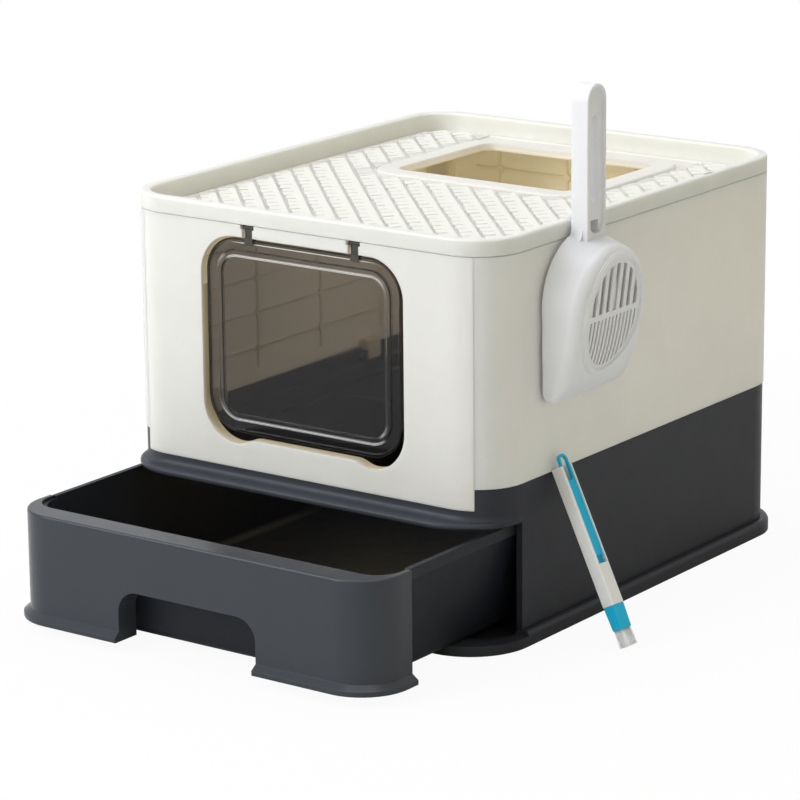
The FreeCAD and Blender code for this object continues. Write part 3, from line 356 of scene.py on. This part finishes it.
def body_place(shader):
    """A point's x, y and z, and how deep it lies inside the upright faces of the body."""
    x, y, z = shader.parts(shader.place)
    return x, y, z, depth_inside(shader, x, y, half_width, half_depth, corner_radius)


def painted_bounce_mask(shader):
    """One on faces that look into the cabin, where a warm bounce light is painted, nought on the outer faces
    of the walls.
    """
    x, y, z, depth = body_place(shader)
    return shader.product(shader.step(depth, *inner_face_depths), shader.fall(z, *cabin_top_heights))


def deck_masks(shader):
    """Masks for the ground between the tread's bumps and for the border of the top entry, where shade is
    painted.
    """
    x, y, z, depth = body_place(shader)
    beside_entry = shader.math("GREATER_THAN", shader.math("ABSOLUTE", x), entry_clear_half)
    before_entry = shader.math("LESS_THAN", y, entry_clear_front)
    outside_border = shader.math("MAXIMUM", beside_entry, before_entry)
    inside_border = shader.math("SUBTRACT", 1.0, outside_border)
    on_deck = shader.product(shader.step(depth, *field_edge_depths), shader.step(z, *deck_face_heights))
    ground = shader.product(on_deck, outside_border, shader.fall(z, *pad_top_heights))
    border = shader.product(on_deck, inside_border, shader.fall(z, *border_top_heights))
    return ground, border


def painted_rim_light_mask(shader):
    """One on the face of the cover's rim that looks over the deck, where a paler, warmer painted light is
    put.
    """
    x, y, z, depth = body_place(shader)
    at_face = shader.product(shader.step(depth, *rim_top_depths), shader.fall(depth, *rim_face_depths))
    return shader.product(at_face, shader.step(z, *rim_foot_heights))


def moulded(shader, colour, roughness, grain_height=0.00004, grain_scale=900.0, variation=0.05, edge=0.0006):
    """Moulded plastic: faint mottling, fine grain and softly rounded edges."""
    clouds = shader.noise(scale=14.0, detail=4.0, roughness=0.6)
    if isinstance(colour, tuple):
        shader.set("Base Color", shader.blend(clouds, scaled(colour, 1 - variation), colour))
    else:
        toned = shader.nodes.new("ShaderNodeHueSaturation")
        shader.link(shader.stretch(clouds, 1.0 - variation, 1.0), toned.inputs["Value"])
        shader.link(colour, toned.inputs["Color"])
        shader.set("Base Color", toned.outputs["Color"])
    spots = shader.noise(scale=60.0, detail=3.0, roughness=0.6)
    shader.set("Roughness", shader.stretch(spots, roughness - roughness_spread, roughness + roughness_spread))
    grain = shader.noise(scale=grain_scale, detail=2.0, roughness=0.6)
    rounded = shader.rounded_edges(edge)
    shader.set("Normal", shader.bump(grain, grain_strength, grain_height, rounded))


def glowing_cream(name, outside):
    """Cream plastic that lets some light through; outside makes the colour of its outer faces, and faces that
    look into the cabin get a painted warm bounce light.
    """
    shader = Shader(name)
    # Painted light: faces that look into the cabin take a warm colour in place of bounced light.
    colour = shader.blend(painted_bounce_mask(shader), outside(shader), cream_painted_bounce)
    moulded(shader, colour, roughness=0.42)
    shader.glow(0.5, cream_reach)
    shader.set("Specular IOR Level", 0.35)
    return shader.material


def wall_colour(shader):
    """Plain cream of the walls, the same all over."""
    return cream


def cover_colour(shader):
    """Cream of the cover: painted shade between the tread's bumps and on the border of the top entry, and
    painted light, paler and warmer, on the rim's inner face.
    """
    ground, border = deck_masks(shader)
    # Painted shade: the ground between the bumps and the border take darker copies of the cover's cream.
    colour = shader.blend(ground, cover_cream, scaled(cover_cream, ground_shade))
    colour = shader.blend(border, colour, scaled(cover_cream, border_shade))
    # Painted light: the rim's inner face takes a paler, warmer cream.
    return shader.blend(painted_rim_light_mask(shader), colour, rim_painted_light)


def dark_plastic(name, colour, roughness, specular):
    """Dark plastic of the drawer, with more mottling and a slightly finer, deeper grain."""
    shader = Shader(name)
    moulded(shader, colour, roughness, **dark_grain)
    shader.set("Specular IOR Level", specular)
    return shader.material


def base_plastic():
    """Dark plastic of the housing, with painted light on the beam over the drawer: bluer and paler there, as
    it takes more light from the front.
    """
    shader = Shader("base_plastic")
    x, y, z = shader.parts(shader.place)
    # Painted light: the beam over the drawer takes a paler, bluer slate.
    painted_light_on_beam = shader.fall(y, beam_front, beam_back)
    moulded(shader, shader.blend(painted_light_on_beam, base_slate, beam_painted_light_slate), roughness=0.38, **dark_grain)
    shader.set("Specular IOR Level", 0.17)
    return shader.material


def band(shader, value, middle, half):
    """One where value is within half of middle, with soft sides."""
    off = shader.math("ABSOLUTE", shader.math("SUBTRACT", value, middle))
    return shader.fall(off, half * line_core, half * line_fringe)


def double_line(shader, depth, edge, second_edge):
    """Two thin lines side by side at two depths from the pane's edge."""
    first = band(shader, depth, edge, bead_line_half)
    return shader.math("MAXIMUM", first, band(shader, depth, second_edge, bead_line_half))


def between(shader, share, first, second):
    """Number between first and second, for a share from nought to one."""
    change = shader.math("SUBTRACT", second, first)
    return shader.math("MULTIPLY_ADD", change, share, first)


def pane_painted_light_and_shade(shader):
    """Masks for the pane: painted shade at its rim, painted shade and painted highlights on the two sides of
    its raised bead, and a painted highlight along the top of its rim.
    """
    x, y, z = shader.parts(shader.place)
    up = shader.math("SUBTRACT", z, pane_middle_z)
    depth = depth_inside(shader, x, up, pane_half_width, pane_half_height, pane_radius)
    rim = shader.fall(depth, *pane_rim_depths)
    outer_pair = double_line(shader, depth, bead_outer_edge, bead_outer_edge + bead_line_pair)
    inner_pair = double_line(shader, depth, bead_inner_edge, bead_inner_edge - bead_line_pair)
    sideways = shader.math("DIVIDE", x, pane_half_width)
    upwards = shader.math("DIVIDE", up, pane_half_height)
    # Painted highlights and painted shade: which side of the bead is light or dark, and how strong each run
    # is, follows where light is taken to fall.
    upper_right = shader.step(shader.math("ADD", sideways, upwards), -diagonal_blur, diagonal_blur)
    level_run = shader.math("SUBTRACT", shader.math("ABSOLUTE", upwards), shader.math("ABSOLUTE", sideways))
    strength = shader.step(level_run, *level_run_fade, upright_run_strength, 1.0)
    light = shader.product(between(shader, upper_right, outer_pair, inner_pair), strength)
    dark_outer = band(shader, depth, bead_outer_edge, bead_dark_half)
    dark_inner = band(shader, depth, bead_inner_edge, bead_dark_half)
    dark = between(shader, upper_right, dark_inner, dark_outer)
    top_run = shader.product(shader.step(upwards, *top_line_heights), shader.step(level_run, *top_line_fade))
    painted_top_highlight = shader.product(band(shader, depth, painted_top_highlight_depth, bead_line_half), top_run)
    return rim, dark, shader.math("MAXIMUM", light, painted_top_highlight)


def smoked_pane():
    """Smoked clear plastic, nearly black at its rim by painted shade, with painted highlights and painted
    shade as bright and dark lines along its bead.
    """
    shader = Shader("smoked_pane")
    clouds = shader.noise(scale=9.0)
    rim, dark, light = pane_painted_light_and_shade(shader)
    tint = shader.blend(clouds, smoke, scaled(smoke, 1.1))
    # Painted shade on the rim and the dark lines, and painted highlights on the light lines, which also let
    # less light through.
    tint = shader.blend(shader.math("MAXIMUM", rim, dark), tint, smoke_painted_shade)
    shader.set("Base Color", shader.blend(light, tint, bead_painted_highlight))
    shader.set("Roughness", shader.stretch(shader.noise(scale=30.0), 0.03, 0.07))
    shader.set("Normal", shader.bump(shader.noise(scale=40.0), strength=0.2, distance=0.00002))
    shader.set("Transmission Weight", shader.math("MULTIPLY_ADD", light, -painted_highlight_cover, 1.0))
    shader.set("Specular IOR Level", 0.2)
    shader.set("Specular Tint", smoke_gloss)
    shader.set("IOR", 1.4)
    clear_colour = shader.blend(clouds, smoke_shadow, smoke_shadow_pale)
    clear = shader.colour_shader("ShaderNodeBsdfTransparent", clear_colour)
    shader.show(shader.mix_shaders(shader.ray("Is Shadow Ray"), shader.principled.outputs[0], clear))
    return shader.material


def hanger_plastic():
    """Fairly glossy, nearly black plastic of the flap's hangers."""
    shader = Shader("hanger_plastic")
    moulded(shader, hanger_black, roughness=0.2, grain_height=0.00001, variation=0.1, edge=0.0004)
    return shader.material


def scoop_plastic():
    """Cool white plastic of the scoop, which lets a little light through."""
    shader = Shader("scoop_plastic")
    moulded(shader, scoop_white, roughness=0.38, grain_height=0.00002, variation=0.04, edge=0.0005)
    shader.glow(0.5, scoop_reach)
    shader.set("Specular IOR Level", 0.4)
    return shader.material


def brush_plastic():
    """White plastic of the brush's dustpan sleeve."""
    shader = Shader("brush_plastic")
    moulded(shader, brush_white, roughness=0.35, grain_height=0.00001, variation=0.04, edge=0.0003)
    return shader.material


def teal_plastic():
    """Teal plastic of the brush's handle and of the block that holds its bristles."""
    shader = Shader("teal_plastic")
    moulded(shader, teal, roughness=0.35, grain_height=0.00001, variation=0.08, edge=0.0003)
    shader.set("Specular IOR Level", 0.3)
    return shader.material


def pin_steel():
    """Drawn steel wire, with faint lines."""
    shader = Shader("pin_steel")
    stretched = shader.scale_vector(shader.place, (60.0, 60.0, 4000.0))
    lines = shader.noise(scale=1.0, detail=3.0, roughness=0.6, vector=stretched)
    shader.set("Base Color", shader.blend(lines, scaled(steel, 0.8), steel))
    shader.set("Metallic", 1.0)
    shader.set("Roughness", shader.stretch(lines, 0.25, 0.4))
    shader.set("Normal", shader.bump(lines, strength=0.3, distance=0.00002))
    return shader.material


def bristle_nylon():
    """White nylon that half its light passes through, and that throws almost no shadow."""
    shader = Shader("bristle_nylon")
    streaks = shader.noise(scale=700.0, roughness=0.6)
    colour = shader.blend(streaks, bristle_white, bristle_bright)
    shader.set("Base Color", colour)
    shader.set("Roughness", shader.stretch(streaks, 0.3, 0.5))
    through = shader.colour_shader("ShaderNodeBsdfTranslucent", colour)
    nylon = shader.mix_shaders(0.5, shader.principled.outputs[0], through)
    clear = shader.colour_shader("ShaderNodeBsdfTransparent", white)
    shadow_share = shader.product(shader.ray("Is Shadow Ray"), bristle_clearness)
    shader.show(shader.mix_shaders(shadow_share, nylon, clear))
    return shader.material


def dress_nodes():
    """Gives every solid its own plastic."""
    walls = ["front_panel", "back_panel", "left_panel", "right_panel"]
    pins = ["front_hinge_pins", "back_hinge_pins", "left_hinge_pins", "right_hinge_pins"]
    looks = {
        glowing_cream("cream_plastic", wall_colour): walls,
        glowing_cream("cover_plastic", cover_colour): ["top_cover"],
        dark_plastic("fascia_plastic", fascia_slate, roughness=0.22, specular=0.25): ["drawer_fascia"],
        base_plastic(): ["base_housing", "floor_plate"],
        dark_plastic("tub_plastic", tub_black, roughness=0.42, specular=0.22): ["drawer_tub"],
        smoked_pane(): ["flap_pane"],
        hanger_plastic(): ["flap_hanger_left", "flap_hanger_right"],
        scoop_plastic(): ["litter_scoop"],
        brush_plastic(): ["dustpan_sleeve"],
        teal_plastic(): ["brush_ferrule", "brush_handle"],
        pin_steel(): pins,
    }
    for material, names in looks.items():
        for name in names:
            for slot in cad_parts[name].material_slots:
                slot.material = material


def mesh_object(name, vertices, faces):
    """New object in the scene, made from corner points and faces."""
    mesh = bpy.data.meshes.new(name)
    mesh.from_pydata(vertices, [], faces)
    made = bpy.data.objects.new(name, mesh)
    bpy.context.scene.collection.objects.link(made)
    return made


def on_tread_field(point):
    """Whether a point of the deck lies between the rim and the border of the top entry."""
    from_side = abs(point.x)
    from_end = abs(point.y)
    over_x = max(from_side - (half_width - corner_radius), 0)
    over_y = max(from_end - (half_depth - corner_radius), 0)
    within_corner = corner_radius - math.hypot(over_x, over_y)
    within = min(half_width - from_side, half_depth - from_end, within_corner)
    outside_border = from_side > entry_clear_half or point.y < entry_clear_front
    return within > field_inset and outside_border


def add_block(vertices, faces, ends):
    """Adds a closed block on the deck between two ends, each a place, a half side and a height."""
    first = len(vertices)
    for place, side, high in ends:
        for corner, height in ((place - side, -bump_sunk), (place + side, -bump_sunk),
                               (place + side, high), (place - side, high)):
            vertices.append((corner.x, corner.y, deck_top + height))
    for ring in ((0, 1, 2, 3), (7, 6, 5, 4), (0, 4, 5, 1), (1, 5, 6, 2), (2, 6, 7, 3), (3, 7, 4, 0)):
        faces.append(tuple(first + corner for corner in ring))


def clear_of_borders(ends, side):
    """Whether all corners of a block across a row lie on the tread's field."""
    corners = [end + side * sign for end in ends for sign in (-1, 1)]
    return all(on_tread_field(corner) for corner in corners)


def add_bump(vertices, faces, ragged, straight, along):
    """Adds one bump from its ragged to its straight side, in slices where it meets a border."""
    half = bump_pitch / 2 - notch_half - bump_shift
    slices = 1 if clear_of_borders((ragged, straight), along * half) else bump_slices
    slice_half = half / slices
    side = along * slice_half
    for number in range(slices):
        shift = along * ((2 * number + 1 - slices) * slice_half)
        ends = (ragged + shift, straight + shift)
        if clear_of_borders(ends, side):
            add_block(vertices, faces, ((ends[0], side, ragged_side_height), (ends[1], side, bump_height)))


def add_link(vertices, faces, start, end, along):
    """Adds the part of a row that joins two bumps beside the notch between them."""
    side = along * (notch_half + 2 * bump_shift)
    if on_tread_field(start) and on_tread_field(end):
        add_block(vertices, faces, [(place, side, link_height) for place in (start, end)])


def tread_bumps():
    """Bumps on every diagonal row of the tread, each with one ragged side and a notch to the next."""
    chance = random.Random(11)
    along = Vector((math.cos(tread_angle), math.sin(tread_angle), 0))
    across = Vector((-math.sin(tread_angle), math.cos(tread_angle), 0))
    reach = math.hypot(half_width, half_depth)
    rows = int(reach / tread_pitch)
    bumps = int(reach / bump_pitch)
    vertices = []
    faces = []
    for row in range(-rows, rows + 1):
        middle = across * (row * tread_pitch)
        for bump in range(-bumps, bumps + 1):
            centre = middle + along * (bump * bump_pitch + chance.uniform(-bump_shift, bump_shift))
            ragged = centre - across * (tread_half_width + chance.uniform(0.0, bump_overhang))
            straight = centre + across * tread_half_width
            add_bump(vertices, faces, ragged, straight, along)
            gap = middle + along * ((bump + 0.5) * bump_pitch)
            notch = chance.uniform(*notch_share) * 2 * tread_half_width
            start = gap - across * (tread_half_width - notch)
            end = gap + across * (tread_half_width - link_set_back)
            add_link(vertices, faces, start, end, along)
    raised = mesh_object("tread_bumps", vertices, faces)
    raised.data.materials.append(bpy.data.materials["cream_plastic"])
    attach(raised, "cover")


def strand_points(root, tip, bend):
    """Middle line of one bristle, bowed sideways between its root and its tip."""
    points = []
    for ring in range(strand_rings):
        share = ring / (strand_rings - 1)
        bow = math.sin(math.pi * share) * (1 - strand_bow_shift * share)
        points.append(root.lerp(tip, share) + bend * bow)
    return points


def strand_line(chance, row, column):
    """Middle line of the bristle at one place of the tuft, with its own lean, length and bow."""
    u = (row + 0.5 + chance.uniform(-strand_jitter, strand_jitter)) / strand_rows * 2 - 1
    v = (column + 0.5 + chance.uniform(-strand_jitter, strand_jitter)) / strand_columns * 2 - 1
    root = Vector((u * tuft_root[0], v * tuft_root[1], tuft_length + tuft_sunk))
    spread = chance.uniform(*tip_spread)
    shortening = abs(chance.gauss(0, tip_shortening)) + least_shortening
    clump = clump_reach * math.sin(v * clump_waves[1] + u * clump_waves[0])
    tip = Vector((u * tuft_tips[0] * spread, v * tuft_tips[1] * spread + clump, shortening))
    bend = Vector((chance.gauss(0, strand_bend[0]), chance.gauss(0, strand_bend[1]), 0))
    return strand_points(root, tip, bend)


def add_strand(vertices, faces, points):
    """Adds one closed bristle round its middle line, thinner towards its tip."""
    first = len(vertices)
    last_ring = strand_rings - 1
    for ring, point in enumerate(points):
        radius = strand_radius * (1 - strand_taper * ring / last_ring)
        for side in range(strand_sides):
            turn = 2 * math.pi * side / strand_sides
            vertices.append(point + Vector((math.cos(turn), math.sin(turn), 0)) * radius)
    for ring in range(last_ring):
        here = first + ring * strand_sides
        above = here + strand_sides
        for side in range(strand_sides):
            following = (side + 1) % strand_sides
            faces.append((here + side, here + following, above + following, above + side))
    last = first + last_ring * strand_sides
    faces.append(tuple(first + side for side in reversed(range(strand_sides))))
    faces.append(tuple(last + side for side in range(strand_sides)))


def tuft_low_corner(lean):
    """Lowest corner of the box round the leaning tuft, before it is moved to its place."""
    corners = []
    for sign_x in (-1, 1):
        for sign_y in (-1, 1):
            corners.append(lean @ Vector((sign_x * tuft_root[0], sign_y * tuft_root[1], tuft_length)))
            corners.append(lean @ Vector((sign_x * tuft_tips[0], sign_y * tuft_tips[1], 0)))
    return Vector([min(corner[axis] for corner in corners) for axis in range(3)])


def bristle_tuft():
    """Separate slightly wavy bristles in place of the tuft's plain block."""
    chance = random.Random(7)
    vertices = []
    faces = []
    for row in range(strand_rows):
        for column in range(strand_columns):
            add_strand(vertices, faces, strand_line(chance, row, column))
    lean = Matrix.Rotation(brush_turn, 4, "Z") @ Matrix.Rotation(-brush_lean, 4, "Y")
    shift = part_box("brush_bristles")[0] - tuft_low_corner(lean)
    tuft = mesh_object("bristle_tuft", [lean @ vertex + shift for vertex in vertices], faces)
    tuft.data.polygons.foreach_set("use_smooth", [True] * len(tuft.data.polygons))
    tuft.data.materials.append(bristle_nylon())
    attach(tuft, "brush")
    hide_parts("brush_bristles")


def studio_floor():
    """Pale floor that keeps the object's shadow and shows as nearly white to the camera."""
    corners = [(-floor_reach, -floor_reach, 0), (floor_reach, -floor_reach, 0),
               (floor_reach, floor_reach, 0), (-floor_reach, floor_reach, 0)]
    floor = mesh_object("studio_floor", corners, [(0, 1, 2, 3)])
    shader = Shader("studio_floor")
    paper = shader.noise(scale=3.0, detail=3.0)
    shader.set("Base Color", shader.blend(paper, floor_grey, floor_pale))
    shader.set("Roughness", 0.9)
    shader.set("Specular IOR Level", 0.0)
    x, y, z = shader.parts(shader.place)
    plain = shader.step(shader.hypotenuse(x, y), *plain_floor_distances, low_result=plain_share_near)
    share = shader.product(shader.ray("Is Camera Ray"), plain)
    plain_white = shader.colour_shader("ShaderNodeEmission", white)
    shader.show(shader.mix_shaders(share, shader.principled.outputs[0], plain_white))
    floor.data.materials.append(shader.material)


def studio_world():
    """Surround: yellowish at the sides, neutral overhead, and white wherever it is seen."""
    world = bpy.data.worlds.new("studio")
    bpy.context.scene.world = world
    surround = NodeTree(world)
    light = surround.nodes["Background"]
    x, y, height = surround.parts(surround.coordinates.outputs["Generated"])
    overhead = surround.step(height, *overhead_heights)
    surround.link(surround.blend(overhead, surround_sides, surround_overhead), light.inputs["Color"])
    light.inputs["Strength"].default_value = surround_strength
    result = light.outputs[0]
    for kind, strength in surround_seen.items():
        seen = surround.nodes.new("ShaderNodeBackground")
        seen.inputs["Color"].default_value = (*white, 1.0)
        seen.inputs["Strength"].default_value = strength
        result = surround.mix_shaders(surround.ray(kind), result, seen.outputs[0])
    surround.link(result, surround.nodes["World Output"].inputs["Surface"])


def lamp(name, place, size, power, colour):
    """Round soft lamp that shines at the object."""
    light = bpy.data.lights.new(name, "AREA")
    light.shape = "DISK"
    light.size = size
    light.energy = power
    light.color = colour
    holder = bpy.data.objects.new(name, light)
    holder.location = place
    aim = Vector(lamp_aim) - Vector(place)
    holder.rotation_euler = aim.to_track_quat("-Z", "Y").to_euler()
    bpy.context.scene.collection.objects.link(holder)


def cabin_light():
    """Faint warm light in the cabin, for the light that its thin walls let through."""
    light = bpy.data.lights.new("cabin", "POINT")
    light.energy = 0.37
    light.color = warm_light
    light.shadow_soft_size = 0.06
    holder = bpy.data.objects.new("cabin", light)
    holder.location = (0, 0.08, 0.24)
    holder.visible_camera = False
    holder.visible_glossy = False
    holder.visible_transmission = False
    bpy.context.scene.collection.objects.link(holder)


def studio():
    """Floor, surround and lamps: a large soft key at the upper left, a front, a top and a cabin one."""
    studio_floor()
    studio_world()
    lamp("key", place=(-1.8, -2.6, 2.3), size=2.2, power=71.5, colour=cool_light)
    lamp("front", place=(-0.9, -3.4, 1.0), size=1.6, power=17.0, colour=cool_light)
    lamp("top", place=(-0.3, 0.1, 3.2), size=2.4, power=33.0, colour=pale_light)
    cabin_light()


def camera():
    """Camera at the photograph's angle, turned by its measured yaw, pitch and roll."""
    level = math.cos(camera_pitch)
    forward = Vector((-math.sin(camera_yaw) * level, math.cos(camera_yaw) * level, -math.sin(camera_pitch)))
    right = Vector((math.cos(camera_yaw), math.sin(camera_yaw), 0))
    up = right.cross(forward)
    turned_right = right * math.cos(camera_roll) + up * math.sin(camera_roll)
    turned_up = up * math.cos(camera_roll) - right * math.sin(camera_roll)
    view = bpy.data.cameras.new("camera")
    view.sensor_fit = "HORIZONTAL"
    view.sensor_width = sensor_width
    view.lens = camera_lens
    view.clip_end = camera_reach
    holder = bpy.data.objects.new("camera", view)
    bpy.context.scene.collection.objects.link(holder)
    axes = Matrix((turned_right, turned_up, -forward)).transposed()
    holder.matrix_world = Matrix.Translation(camera_place) @ axes.to_4x4()
    bpy.context.scene.camera = holder


dress_nodes()
tread_bumps()
bristle_tuft()
studio()
camera()
bpy.context.scene.view_settings.view_transform = "Standard"
